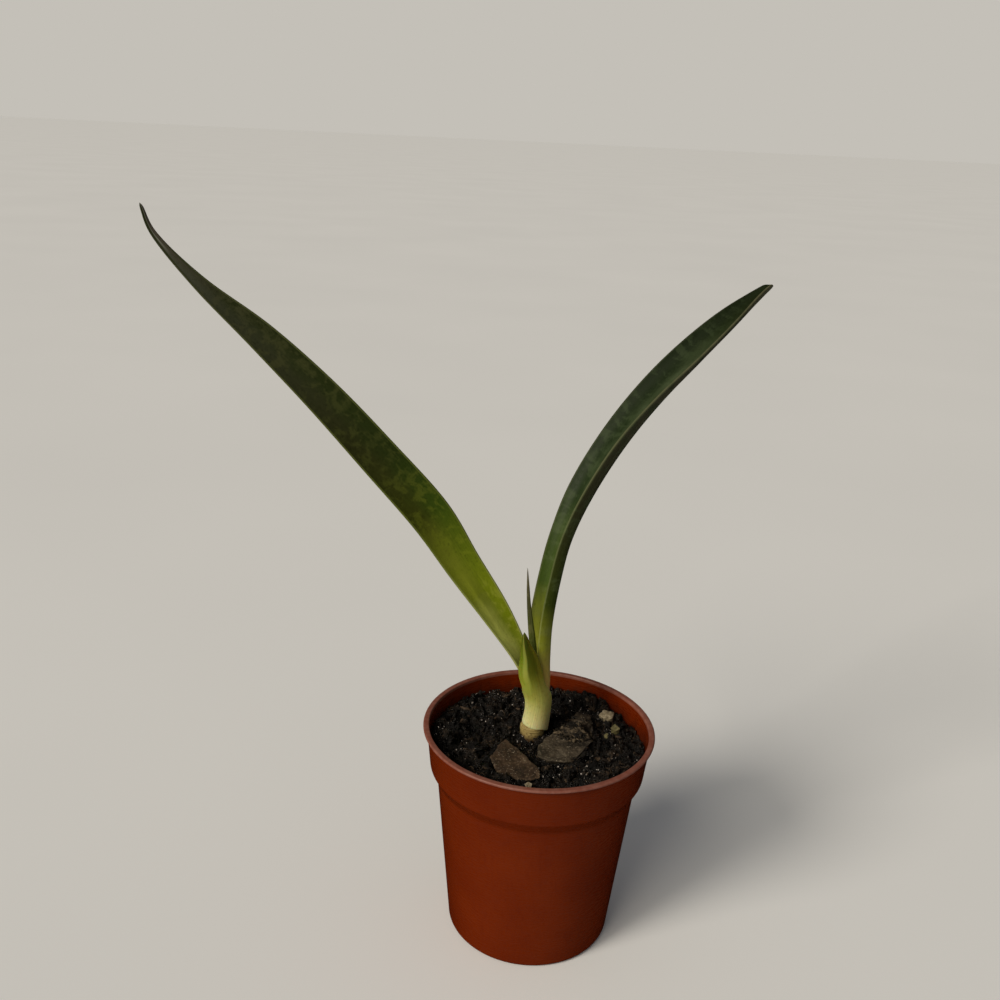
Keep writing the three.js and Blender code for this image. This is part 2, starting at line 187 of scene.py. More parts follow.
# Clods of the visible surface: how many a millimetre holds, their height, the width of the crevices
# between them, and how far their outlines are bent.
CLOD_PITCH = 0.22
CLOD_HEIGHT = 1.3
CREVICE_WIDTH = 0.35
CLOD_BEND = 1.1
# Finer unevenness: pitch, height.
SWELLS = (0.45, 0.5)
RIDGES = (0.7, 0.8)
GRIT = (1.9, 0.3)
# Tone of the surface, lower in its crevices and hollows as painted shade: where it is level, more for each
# millimetre above that, and at most.
TONE_LEVEL = 0.25
TONE_RISE = 0.3
TONE_MOST = 0.5
# Loose crumbs: room left round the stem, and by the wall for their middles and edges, how strongly
# small ones are favoured, and how far their tones differ.
STEM_CLEAR = 3.3
MIDDLE_CLEAR = 0.9
EDGE_CLEAR = 0.4
SMALL_FAVOURED = 2.5
TONE_SPREAD = 0.08
FIBRE_REACH = 25.5
# Limits of the random turns, in radians, and of the random sides of a lump.
ANY_TURN = (0, 6.28)
LYING = (-0.4, 0.4)
HEAPED = (-0.7, 0.7)
CRUMB_SIDES = ((0.6, 1.2), (0.45, 0.95), (0.35, 0.8))
HEAP_SIDES = ((0.7, 1.5), (0.5, 0.9), (0.4, 0.8))
# The heap of bark crumbs, and how far the tops that it lies on stand above SOIL_Z.
HEAP_X = 9.3
HEAP_Y = 3.0
HEAP_WIDE = 5.3
HEAP_DEEP = 5.4
HEAP_HEIGHT = 1.5
STONE_TOP = 1.7
BARK_TOP = 2.8
TOP_CORNER = 0.45                # a chip's corners above this belong to its top
# Facets and dents of the chips: large and small, in millimetres.
FACETS = (2.4, 0.9)
DENTS = (3.2, 0.5)
FACET_MEAN = 0.45
EDGE_WEAR = 0.85
# Corners of each convex chip: x, y, height above SOIL_Z.
STONE_LEFT = [
    [-9.8, -3.2, 1.3], [-8.3, -2.2, 1.7], [-5.3, -6.8, 2.1], [-2.6, -11.6, 1.9], [0.3, -15, 1.3],
    [0.3, -17.6, 0.6], [-4.7, -18.9, 0.5], [-10.6, -16.4, 0.9], [-12.2, -10.6, 1.4],
    [-9.2, -4.6, -1.2], [-4.2, -8.6, -1.4], [-1.5, -15.6, -1.4], [-5.2, -17.2, -1.4], [-10.6, -12.6, -1.3],
]
STONE_RIGHT = [
    [-0.2, -4.1, 1.5], [2.4, 0.2, 1.7], [6.2, 3.2, 1.8], [9.6, 6, 1.7], [13.9, -1, 1.5],
    [11.6, -4.9, 1.6], [8.9, -9.9, 1.2], [6.4, -10.8, 1.1], [2.3, -10.2, 1], [-0.7, -8.4, 1.1],
    [1.4, -3.4, -1.3], [7.2, 3.2, -1.2], [11.6, -0.6, -1.3], [8.2, -8.2, -1.4], [2.2, -8.2, -1.4],
]
BARK_PIECE = [
    [8.6, 7.6, 2.6], [10.6, 10.4, 3.4], [13.6, 9.6, 3.2], [14.6, 5.6, 2.8], [12.2, 5, 3.3],
    [9, 9.2, 0.2], [12.4, 11.2, 0], [14.9, 8.6, -0.2], [14.6, 4.8, 0.1], [11.4, 6.2, 0.4],
]
CHIP_PALE = [
    [16.4, 11.4, 2.1], [18, 13.6, 2.6], [20.6, 12.6, 2.2], [20, 10.4, 1.6], [17.8, 10.3, 2],
    [16.8, 12, 0.2], [18.6, 13.2, 0.1], [20.2, 11.6, 0], [18.2, 10.8, -0.1],
]
CHIP_TAN = [
    [19.2, 6.4, 1.3], [20.6, 8, 1.7], [21.8, 6.4, 1.3], [20.6, 5.3, 1],
    [19.6, 6.6, -0.6], [20.8, 7.4, -0.6], [21.3, 6.2, -0.7],
]
CHIP_SMALL = [
    [17.2, 3.2, 1], [18.2, 4.2, 1.2], [19, 3, 0.8], [18, 2.3, 0.7],
    [17.6, 3.2, -0.6], [18.4, 3.6, -0.6], [18.4, 2.7, -0.7],
]
PEBBLE_FRONT = [
    [-3.7, -20.8, 1], [-2.8, -20, 1.2], [-1.8, -20.6, 1], [-2, -22, 0.7], [-3.2, -22.1, 0.8],
    [-3.2, -20.9, -0.7], [-2.2, -20.8, -0.7], [-2.6, -21.7, -0.8],
]


# ---- meshes ----
def add_attribute(mesh, name, values):
    layer = mesh.attributes.new(name, "FLOAT", "POINT")
    layer.data.foreach_set("value", np.asarray(values, np.float32))


def new_mesh(name, points, faces, attributes=None):
    """A mesh of points in millimetres. Each attribute has a value for every point."""
    mesh = bpy.data.meshes.new(name)
    mesh.from_pydata((np.asarray(points, float) * MM).tolist(), [], faces)
    for key, values in (attributes or {}).items():
        add_attribute(mesh, key, values)
    return mesh


def add_object(name, data):
    made = bpy.data.objects.new(name, data)
    scene.collection.objects.link(made)
    return made


def outward(mesh):
    """Turns every face of each closed island outwards."""
    bm = bmesh.new()
    bm.from_mesh(mesh)
    bmesh.ops.recalc_face_normals(bm, faces=bm.faces)
    bm.to_mesh(mesh)
    bm.free()


def piece(name, mesh, material, node, sharp=None):
    """Makes the mesh an object that stands for a CAD node; edges over sharp degrees stay crisp."""
    outward(mesh)
    mesh.polygons.foreach_set("use_smooth", [True] * len(mesh.polygons))
    if sharp is not None:
        mesh.set_sharp_from_angle(angle=radians(sharp))
    mesh.materials.clear()
    mesh.materials.append(material)
    made = add_object(name, mesh)
    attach(made, "root")
    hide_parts(node)


def evaluated(mesh, *modifiers):
    """The mesh after the given modifiers: (type, {setting: value}) each."""
    carrier = add_object("carrier", mesh)
    for kind, settings in modifiers:
        modifier = carrier.modifiers.new(kind, kind)
        for key, value in settings.items():
            setattr(modifier, key, value)
    graph = bpy.context.evaluated_depsgraph_get()
    result = bpy.data.meshes.new_from_object(carrier.evaluated_get(graph))
    bpy.data.objects.remove(carrier)
    return result


def loft_faces(rings, count):
    """Quads between rings of count points each, and one flat face over each end."""
    faces = []
    for i in range(rings - 1):
        for j in range(count):
            a = i * count + j
            b = i * count + (j + 1) % count
            faces.append((a, b, b + count, a + count))
    faces.append(tuple(range(count)))
    faces.append(tuple((rings - 1) * count + j for j in range(count)))
    return faces


def shifted(faces, first):
    """The same faces for points that begin at number first."""
    return [tuple(first + i for i in face) for face in faces]


def polar(r, angle):
    return r * cos(angle), r * sin(angle)


def circle(r, z, sectors):
    """Points of a level circle round the z axis."""
    return [(*polar(r, tau * j / sectors), z) for j in range(sectors)]


def run_length(line):
    """Length of the line up to each of its points."""
    return np.concatenate([[0], np.cumsum(np.linalg.norm(np.diff(line, axis=0), axis=1))])


def along(rows, u):
    """Catmull-Rom curve through whole rows; u counts rows."""
    rows = np.asarray(rows, float)
    i = np.minimum(u.astype(int), len(rows) - 2)
    t = (u - i)[:, None]
    padded = np.vstack([2 * rows[:1] - rows[1:2], rows, 2 * rows[-1:] - rows[-2:-1]])
    p0, p1, p2, p3 = (padded[i + n] for n in range(4))
    return 0.5 * (2 * p1 + (p2 - p0) * t + (2 * p0 - 5 * p1 + 4 * p2 - p3) * t ** 2
                  + (3 * p1 - p0 - 3 * p2 + p3) * t ** 3)


def unit(v):
    return v / np.linalg.norm(v, axis=-1, keepdims=True)


def wobble(points, scale, seed):
    """Smooth noise from -1 to 1 at each point, with features of about scale millimetres."""
    shift = Vector((seed * 17.3, seed * 5.7, seed * 11.1))
    return np.array([noise.noise(Vector(p) / scale + shift) for p in points])


# ---- node materials ----
def srgb(r, g, b):
    """Linear colour of 8-bit screen values."""
    def linear(v):
        v /= 255
        return v / 12.92 if v <= 0.04045 else ((v + 0.055) / 1.055) ** 2.4
    return (linear(r), linear(g), linear(b), 1.0)


class Paint:
    """A node material while it is put together. Each method adds a node and returns its output."""

    def __init__(self, name, **sockets):
        self.material = bpy.data.materials.new(name)
        self.material.use_nodes = True
        self.tree = self.material.node_tree
        self.shader = self.tree.nodes["Principled BSDF"]
        for socket, value in sockets.items():
            self.shader.inputs[socket.replace("_", " ")].default_value = value

    def node(self, kind, inputs=(), **settings):
        made = self.tree.nodes.new("ShaderNode" + kind)
        for key, value in settings.items():
            setattr(made, key, value)
        for key, value in dict(inputs).items():
            if isinstance(value, bpy.types.NodeSocket):
                self.tree.links.new(value, made.inputs[key])
            else:
                made.inputs[key].default_value = value
        return made

    def attribute(self, name):
        return self.node("Attribute", attribute_name=name).outputs["Fac"]

    def place(self):
        """Position on the object, in millimetres."""
        position = self.node("TexCoord").outputs["Object"]
        scaled = self.node("VectorMath", {0: position, "Scale": 1 / MM}, operation="SCALE")
        return scaled.outputs["Vector"]

    def stretched(self, vector, x, y, z):
        return self.node("VectorMath", {0: vector, 1: (x, y, z)}, operation="MULTIPLY").outputs["Vector"]

    def vector(self, x, y, z):
        return self.node("CombineXYZ", {0: x, 1: y, 2: z}).outputs[0]

    def part(self, vector, axis):
        return self.node("SeparateXYZ", {0: vector}).outputs[axis]

    def noise(self, vector, scale, detail=3.0, roughness=0.5, distortion=0.0):
        inputs = {"Vector": vector, "Scale": scale, "Detail": detail, "Roughness": roughness,
                  "Distortion": distortion}
        return self.node("TexNoise", inputs).outputs["Fac"]

    def maths(self, operation, *values):
        return self.node("Math", enumerate(values), operation=operation).outputs[0]

    def times(self, a, b):
        return self.maths("MULTIPLY", a, b)

    def plus(self, a, b):
        return self.maths("ADD", a, b)

    def minus(self, a, b):
        return self.maths("SUBTRACT", a, b)

    def span(self, value, low, high, to_low=0.0, to_high=1.0, smooth=True):
        inputs = {"Value": value, "From Min": low, "From Max": high, "To Min": to_low, "To Max": to_high}
        kind = "SMOOTHSTEP" if smooth else "LINEAR"
        return self.node("MapRange", inputs, interpolation_type=kind, clamp=True).outputs["Result"]

    def specks(self, place, scale, edge, patch_scale, patch_edge):
        """Small scattered spots, which show in patches only."""
        spots = self.node("TexVoronoi", {"Vector": place, "Scale": scale}).outputs["Distance"]
        patches = self.noise(place, patch_scale, 2.0)
        return self.times(self.span(spots, *edge), self.span(patches, *patch_edge))

    def ramp(self, value, *stops):
        """Each stop is a position, then a screen colour or a single value for a mask."""
        made = self.node("ValToRGB", {0: value})
        elements = made.color_ramp.elements
        while len(elements) < len(stops):
            elements.new(0.5)
        for element, (position, *rest) in zip(elements, stops):
            element.position = position
            element.color = srgb(*rest) if len(rest) == 3 else (*rest * 3, 1.0)
        return made.outputs["Color"]

    def mix(self, factor, a, b, blend="MIX"):
        inputs = {0: factor, 6: a, 7: b}
        return self.node("Mix", inputs, data_type="RGBA", blend_type=blend).outputs[2]

    def bump(self, height, strength, distance, normal=None):
        inputs = {"Height": height, "Strength": strength, "Distance": distance * MM}
        if normal is not None:
            inputs["Normal"] = normal
        return self.node("Bump", inputs).outputs["Normal"]

    def finish(self, colour, roughness=None, normal=None):
        """Joins the outputs to the shader and returns the material."""
        for socket, value in (("Base Color", colour), ("Roughness", roughness), ("Normal", normal)):
            if value is not None:
                self.tree.links.new(value, self.shader.inputs[socket])
        return self.material


def pot_plastic():
    mat = Paint("terracotta_plastic", Specular_IOR_Level=0.34)
    place = mat.place()
    height = mat.part(place, 2)
    broad = mat.noise(place, 0.06, 2.0)
    fine = mat.noise(mat.stretched(place, 1, 1, 0.25), 1.1, 4.0, 0.6)
    body = mat.ramp(broad, (0.3, 101, 31, 1), (0.7, 110, 37, 2))
    body = mat.mix(mat.span(fine, 0.45, 0.8, 0.0, 0.3), body, srgb(88, 22, 3))
    lip = mat.span(height, LIP_Z - 0.1, LIP_Z + 0.15)
    # the lip's top is paler: partly dust and wear, partly painted light falling on it from above
    worn = mat.times(lip, mat.span(mat.noise(place, 0.8, 3.0), 0.3, 0.7, 0.6, 1.0))
    colour = mat.mix(worn, body, srgb(138, 90, 78))
    # pale rub marks along the collar's foot
    rub = mat.span(mat.noise(mat.stretched(place, 0.5, 0.5, 3.0), 0.9, 5.0, 0.7), 0.6, 0.8)
    above_foot = mat.maths("ABSOLUTE", mat.minus(height, COLLAR_Z + 0.2))
    rub = mat.times(rub, mat.span(above_foot, 0.1, 0.6, 0.6, 0.08))
    colour = mat.mix(rub, colour, srgb(150, 84, 58))
    # soil smeared on the inside of the wall
    x, y = mat.part(place, 0), mat.part(place, 1)
    squares = mat.plus(mat.times(x, x), mat.times(y, y))
    middle = mat.span(height, COLLAR_Z, LIP_Z, COLLAR_FOOT_R - WALL / 2, COLLAR_TOP_R - WALL / 2,
                      smooth=False)
    within = mat.span(mat.minus(mat.maths("SQRT", squares), middle), -0.1, 0.1, 1.0, 0.0)
    smear = mat.noise(mat.stretched(place, 1, 1, 0.5), 0.45, 5.0, 0.7)
    soiled = mat.plus(height, mat.times(smear, -9.0))
    soiled = mat.times(within, mat.span(soiled, SOIL_Z - 4.5, SOIL_Z - 0.5, 0.5, 0.0))
    soiled = mat.times(soiled, mat.span(height, SOIL_Z - 3, SOIL_Z - 2))
    colour = mat.mix(soiled, colour, srgb(30, 14, 8))
    scuffs = mat.noise(mat.stretched(place, 0.35, 0.35, 3.0), 1.4, 3.0, 0.7)
    roughness = mat.span(scuffs, 0.35, 0.75, 0.24, 0.38)
    roughness = mat.plus(roughness, mat.times(lip, 0.15))
    normal = mat.bump(mat.noise(place, 1.6, 2.0, 0.5), 0.06, 0.05)
    return mat.finish(colour, roughness, normal)


def leaf_skin(name, inner, outer, pale, bands, margin, pitch=(0.3, 0.2), edges=(0.7, 0.25), streak=0.12,
              stripes=(), **sockets):
    """Skin of a leaf. k runs from -1 at one margin to 1 at the other, all stops from foot to tip.
    inner and outer are two lists of colour stops, one for each margin. pale is the colour of the
    lighter patches, bands how strongly they show, and pitch how many a millimetre holds, along and
    across. edges is how strongly each margin is lined. A stripe along the leaf is: whether it is on
    the inner face, its two sides as k, how soft they are, its colour, and how strong it is."""
    mat = Paint(name, Specular_IOR_Level=LEAF_GLOSS, **sockets)
    t = mat.attribute("along")
    run = mat.attribute("along_mm")
    out = mat.attribute("across_mm")
    k = mat.attribute("across")
    side = mat.attribute("inner")
    shift = mat.times(side, 40.0)  # the two faces take their noise from different places

    def skin_noise(along, across, *detail):
        place = mat.vector(mat.times(run, along), mat.times(out, across), shift)
        return mat.noise(place, 1.0, *detail)

    wander = mat.times(mat.minus(skin_noise(0.12, 0.3, 3.0), 0.5), 0.9)
    towards = mat.span(mat.plus(k, wander), -0.6, 0.6)
    faces = [mat.mix(towards, mat.ramp(t, *low), mat.ramp(t, *high)) for low, high in (outer, inner)]
    colour = mat.mix(side, *faces)
    # soft lighter patches, dappled inside
    broad = skin_noise(*pitch, 2.0, 0.5, 0.9)
    dapple = skin_noise(1.1, 1.3, 5.0, 0.7, 0.3)
    patch = mat.plus(broad, mat.times(mat.minus(dapple, 0.5), 0.35))
    mask = mat.times(mat.span(patch, 0.46, 0.68), mat.ramp(t, *bands))
    colour = mat.mix(mask, colour, mat.ramp(t, *pale))
    colour = mat.mix(mat.span(dapple, 0.3, 0.5, 0.3, 0.0), colour, srgb(120, 124, 90), "MULTIPLY")
    # fine lengthwise streaks
    streaks = skin_noise(0.035, 3.0, 3.0, 0.6)
    shade = mat.ramp(streaks, (0.35, 1 - streak), (0.65, 1.0))
    colour = mat.mix(1.0, colour, shade, "MULTIPLY")
    far_out = mat.maths("ABSOLUTE", k)
    drift = mat.plus(k, mat.times(wander, 0.25))
    for on_inner, start, stop, soft, tint, strength in stripes:
        line = mat.times(mat.span(drift, start - soft, start), mat.span(drift, stop + soft, stop))
        line = mat.times(line, mat.ramp(t, *strength))
        face = side if on_inner else mat.minus(1.0, side)
        colour = mat.mix(mat.times(line, face), colour, tint)
    edge = mat.times(mat.span(far_out, 0.93, 0.975), mat.span(t, 0.86, 0.96, 1.0, 0.0))
    edge = mat.times(edge, mat.span(k, -0.5, 0.5, *edges))
    colour = mat.mix(edge, colour, mat.ramp(t, *margin))
    roughness = mat.span(dapple, 0.3, 0.7, 0.44, 0.58)
    normal = mat.bump(streaks, 0.2, 0.07)
    normal = mat.bump(dapple, 0.12, 0.05, normal)
    return mat.finish(colour, roughness, normal)


def soil_skin(name, dark, mid, light):
    mat = Paint(name, Specular_IOR_Level=0.35)
    place = mat.place()
    grain = mat.noise(place, 1.5, 6.0, 0.7)
    broad = mat.span(mat.noise(place, 0.2, 3.0, 0.6, 0.5), 0.42, 0.58)
    mixed = mat.plus(mat.times(grain, 0.45), mat.times(broad, 0.32))
    mixed = mat.plus(mixed, mat.times(mat.attribute("tone"), 0.5))
    colour = mat.ramp(mixed, (0.38, *dark), (0.66, *mid), (0.98, *light))
    specks = mat.specks(place, 1.7, (0.14, 0.07), 0.5, (0.5, 0.58))
    colour = mat.mix(specks, colour, srgb(132, 120, 100))
    # moist and shining in places
    roughness = mat.span(mat.noise(place, 0.9, 3.0, 0.6), 0.45, 0.55, 0.25, 0.9)
    normal = mat.bump(mat.noise(place, 2.6, 8.0, 0.75), 1.0, 0.5)
    return mat.finish(colour, roughness, normal)


def slate_skin(name, dark, mid, light):
    mat = Paint(name, Specular_IOR_Level=0.3)
    place = mat.place()
    broad = mat.noise(place, 0.22, 4.0, 0.6, 0.3)
    grain = mat.noise(place, 2.4, 6.0, 0.7)
    colour = mat.ramp(broad, (0.35, *dark), (0.55, *mid), (0.75, *light))
    colour = mat.mix(mat.span(grain, 0.4, 0.7, 0.0, 0.6), colour, srgb(*dark))
    blotch = mat.span(mat.noise(place, 1.3, 6.0, 0.75), 0.5, 0.7)
    colour = mat.mix(mat.times(blotch, 0.8), colour, srgb(*light))
    # worn along its edges, with small mineral grains
    worn = mat.times(mat.attribute("edge"), mat.span(grain, 0.35, 0.65, 1.0, 0.4))
    colour = mat.mix(mat.times(worn, EDGE_WEAR), colour, srgb(*light))
    specks = mat.specks(place, 2.0, (0.24, 0.1), 0.35, (0.48, 0.6))
    colour = mat.mix(specks, colour, srgb(176, 164, 144))
    roughness = mat.span(grain, 0.3, 0.7, 0.5, 0.8)
    normal = mat.bump(grain, 0.6, 0.25)
    return mat.finish(colour, roughness, normal)


def rhizome_skin():
    mat = Paint("rhizome_skin", Specular_IOR_Level=0.25)
    place = mat.place()
    height = mat.part(place, 2)
    rings = mat.noise(mat.stretched(place, 0.25, 0.25, 2.2), 1.0, 4.0, 0.6, 0.3)
    colour = mat.ramp(rings, (0.3, 134, 116, 70), (0.55, 166, 148, 92), (0.8, 180, 164, 108))
    spots = mat.span(mat.noise(place, 1.5, 4.0, 0.6), 0.5, 0.66)
    colour = mat.mix(mat.times(spots, 0.6), colour, srgb(92, 70, 42))
    below = mat.plus(height, mat.times(spots, -0.6))
    soiled = mat.span(below, NUB_Z - 3.8, NUB_Z - 0.9, 1.0, 0.0)
    colour = mat.mix(soiled, colour, srgb(66, 48, 30))
    normal = mat.bump(rings, 0.5, 0.2)
    roughness = mat.span(rings, 0.3, 0.7, 0.5, 0.7)
    return mat.finish(colour, roughness, normal)


# ---- leaves ----
def blade(name, points, run, across, across_mm, inner):
    """The mesh of a leaf, with what leaf_skin asks of each point of its rings."""
    count, sides = across_mm.shape
    return new_mesh(name, points.reshape(-1, 3), loft_faces(count, sides), {
        "along": np.repeat(run / run[-1], sides),
        "along_mm": np.repeat(run, sides),
        "across": across.ravel(),
        "across_mm": across_mm.ravel(),
        "inner": np.tile(inner, count),
    })


def leaf_mesh(name, stations, lean):
    """A blade through the stations, whose inner face looks the way of lean, in degrees from +X."""
    count = (len(stations) - 1) * LEAF_RINGS + 1
    u = np.linspace(0, len(stations) - 1, count)
    rows = along(stations, u)
    keel = rows[:, :3]
    run = run_length(keel)
    left = run[-1] - run
    taper = np.sqrt(np.clip(1 - (1 - np.minimum(left / TIP_LENGTH, 1)) ** 2, 0.003, 1))
    half = rows[:, 3] * taper
    wrap = np.radians(rows[:, 4])
    turn = np.radians(rows[:, 5])
    thick = rows[:, 6] * taper
    before = along(stations, np.maximum(u - 0.1, 0))[:, :3]
    after = along(stations, np.minimum(u + 0.1, len(stations) - 1))[:, :3]
    tangent = unit(after - before)
    heading = radians(lean)
    sideways = np.array([sin(heading), -cos(heading), 0.0])
    across = unit(sideways - tangent * (tangent @ sideways)[:, None])
    inward = np.cross(across, tangent)
    side = across * np.cos(turn)[:, None] - inward * np.sin(turn)[:, None]
    face = inward * np.cos(turn)[:, None] + across * np.sin(turn)[:, None]
    radius = rows[:, 3] / wrap
    edge = np.minimum(np.minimum(EDGE_THICKNESS, thick), half)
    flat = half - edge / 2
    ks = np.linspace(-1, 1, LEAF_CELLS + 1)
    offset = (edge[:, None] + (thick - edge)[:, None] * (1 - ks ** 2)) / 2
    curl = np.radians(np.linspace(90, -90, MARGIN_POINTS + 2)[1:-1])
    a_far = flat[:, None] + edge[:, None] / 2 * np.cos(curl)
    b_far = edge[:, None] / 2 * np.sin(curl)
    a = np.hstack([flat[:, None] * ks, a_far, flat[:, None] * ks[::-1], -a_far[:, ::-1]])
    b = np.hstack([offset, b_far, -offset[:, ::-1], b_far[:, ::-1]])
    angle = a / radius[:, None]
    r = radius[:, None] + b
    points = (keel[:, None, :] + side[:, None, :] * (r * np.sin(angle))[..., None]
              + face[:, None, :] * (radius[:, None] - r * np.cos(angle))[..., None])
    inner = np.zeros(a.shape[1])
    inner[LEAF_CELLS + 1 + MARGIN_POINTS:2 * LEAF_CELLS + 2 + MARGIN_POINTS] = 1
    return blade(name, points, run, a / half[:, None], a, inner)


def sheath_mesh():
    """The sheath blade, its foot drawn down at its right corner."""
    mesh = leaf_mesh("sheath_blade", SHEATH_LEAF, SHEATH_LEAN)
    for vertex, run in zip(mesh.vertices, mesh.attributes["along_mm"].data):
        corner = min(max((vertex.co.x / MM - SHEATH_CORNER_X) / SHEATH_CORNER_WIDTH, 0.0), 1.0)
        near_foot = max(1 - run.value / SHEATH_FOOT, 0.0)
        vertex.co.z -= (SHEATH_DROP * corner - SHEATH_RISE) * near_foot * MM
    return mesh


def rolled_leaf_mesh(name, stations):
    """A rolled blade: its outer margin laps over itself along a seam."""
    count = (len(stations) - 1) * ROLL_RINGS + 1
    rows = along(stations, np.linspace(0, len(stations) - 1, count))
    run = run_length(rows[:, :3])
    left = run[-1] - run
    radius = rows[:, 3] * np.sqrt(np.clip(np.minimum(left / ROLL_TIP_LENGTH, 1), 0.01, 1))
    turn = np.linspace(0, tau, ROLL_SIDES, endpoint=False)
    seam = radians(ROLL_SEAM)
    grow = 1 - ROLL_OVERLAP * (turn / tau)
    outline = np.stack([np.cos(turn + seam) * grow, np.sin(turn + seam) * grow, np.zeros(ROLL_SIDES)], 1)
    points = rows[:, None, :3] + outline[None] * radius[:, None, None]
    k = np.linspace(-1, 1, ROLL_SIDES)
    return blade(name, points, run, np.tile(k * 0.85, (count, 1)), radius[:, None] * 3 * k[None],
                 np.zeros(ROLL_SIDES))


# ---- pot ----
def arc(cx, cz, r, start, stop, steps):
    """Points of an arc of a profile, from one angle to another, in degrees."""
    angles = np.radians(np.linspace(start, stop, steps + 1))
    return [(cx + r * cos(a), cz + r * sin(a)) for a in angles]


def fillet(corner, before, after, r, steps=5):
    """Points of a soft corner between two straight stretches of a profile."""
    corner, before, after = (np.array(p, float) for p in (corner, before, after))
    reach_in = unit(before - corner) * r
    reach_out = unit(after - corner) * r
    ts = np.linspace(0, 1, steps + 1)[:, None]
    curve = ((1 - ts) ** 2 * (corner + reach_in) + 2 * ts * (1 - ts) * corner
             + ts ** 2 * (corner + reach_out))
    return [tuple(p) for p in curve]


def wall_r(z):
    """Inside radius of the pot wall at height z."""
    radii = (FOOT_R, BODY_TOP_R, COLLAR_FOOT_R, COLLAR_TOP_R)
    return np.interp(z, (0, SHOULDER_Z, COLLAR_Z, LIP_Z), radii) - WALL


def lathe(profile, sectors):
    """Turns (r, z) points round the z axis; a profile that starts and ends on the axis closes there."""
    points = []
    rings = []
    for r, z in profile:
        if r < 1e-6:
            rings.append([len(points)])
            points.append((0.0, 0.0, z))
            continue
        rings.append(list(range(len(points), len(points) + sectors)))
        points += circle(r, z, sectors)
    faces = []
    for low, high in zip(rings, rings[1:]):
        for j in range(sectors):
            n = (j + 1) % sectors
            if len(low) == 1:
                faces.append((low[0], high[n], high[j]))
            elif len(high) == 1:
                faces.append((low[j], low[n], high[0]))
            else:
                faces.append((low[j], low[n], high[n], high[j]))
    return points, faces


def pot_mesh():
    """The pot, turned from its profile, with drainage holes cut through its floor."""
    lip_r = LIP_H / 2
    shoulder = (BODY_TOP_R, SHOULDER_Z)
    collar_foot = (COLLAR_FOOT_R, COLLAR_Z)
    collar_top = (COLLAR_TOP_R, LIP_Z)
    foot = (FOOT_R, FOOT_EDGE)
    profile = [(0.0, 0.0), (FOOT_R - FOOT_EDGE - 4, 0.0)]
    profile += arc(FOOT_R - FOOT_EDGE, FOOT_EDGE, FOOT_EDGE, -90, -5, 10)
    profile += [tuple(np.array(foot) + (np.array(shoulder) - foot) * t) for t in (0.25, 0.5, 0.75)]
    profile += fillet(shoulder, foot, collar_foot, SOFT_SHOULDER)
    profile += fillet(collar_foot, shoulder, collar_top, SOFT_COLLAR)
    profile += fillet(collar_top, collar_foot, (RIM_R, LIP_Z), SOFT_LIP, 3)
    profile += arc(RIM_R - lip_r, LIP_Z + lip_r, lip_r, -60, 90, 14)
    soft = SOFT_LIP_INSIDE
    profile += arc(RIM_R - LIP_W + soft, POT_HEIGHT - soft, soft, 90, 180, 6)
    inner_top, inner_collar, inner_shoulder, inner_foot = (
        (wall_r(z), z) for z in (LIP_Z, COLLAR_Z, SHOULDER_Z, FLOOR + 1))
    profile += fillet(inner_top, (RIM_R - LIP_W, POT_HEIGHT), inner_collar, soft, 3)
    profile += fillet(inner_collar, inner_top, inner_shoulder, SOFT_INSIDE, 3)
    profile += fillet(inner_shoulder, inner_collar, inner_foot, SOFT_INSIDE, 3)
    profile += [inner_foot, (wall_r(FLOOR) - 1, FLOOR), (0.0, FLOOR)]
    points, faces = lathe(profile, POT_SECTORS)
    body = new_mesh("pot_body", points, faces)
    outward(body)
    holes = bpy.data.meshes.new("holes")
    bm = bmesh.new()
    for i in range(DRAIN_HOLES):
        spot = Vector((*polar(DRAIN_CIRCLE_R, tau * (i + 0.5) / DRAIN_HOLES), FLOOR / 2)) * MM
        bmesh.ops.create_cone(bm, cap_ends=True, segments=40, radius1=DRAIN_R * MM, radius2=DRAIN_R * MM,
                              depth=4 * FLOOR * MM, matrix=Matrix.Translation(spot))
    bm.to_mesh(holes)
    bm.free()
    cutter = add_object("cutter", holes)
    result = evaluated(body, ("BOOLEAN", {"object": cutter, "operation": "DIFFERENCE", "solver": "EXACT"}))
    bpy.data.objects.remove(cutter)
    return result


# ---- soil ----
def soil_height(x, y):
    """Height of the soil's surface in the CAD model."""
    z = SOIL_Z
    for fx, fy, r, h in SOIL_FORMS:
        z += h * exp(-((x - fx) ** 2 + (y - fy) ** 2) / (r * r))
    for h, ax, ay, bx, by in SOIL_LUMPS:
        z += h * sin(ax * x + ay * y) * cos(bx * x + by * y)
    return z


def soil_top(x, y):
    """Height of the visible surface: the CAD surface with clods parted by crevices."""
    here = Vector((x, y, 0.0))
    bent = here + noise.noise_vector(here * 0.5) * CLOD_BEND
    z = soil_height(x, y) + SWELLS[1] * noise.fractal(here * SWELLS[0], 0.8, 2.1, 4)
    near = noise.voronoi(bent * CLOD_PITCH + Vector((3.1, 8.7, 0.4)))[0]
    crevice = min((near[1] - near[0]) / CREVICE_WIDTH, 1.0)
    z += CLOD_HEIGHT * (crevice * (2 - crevice) - 0.6 - 0.5 * near[0])
    z += RIDGES[1] * (noise.turbulence(here * RIDGES[0], 4, True) - 0.4)
    z += GRIT[1] * noise.noise(here * GRIT[0])
    return z


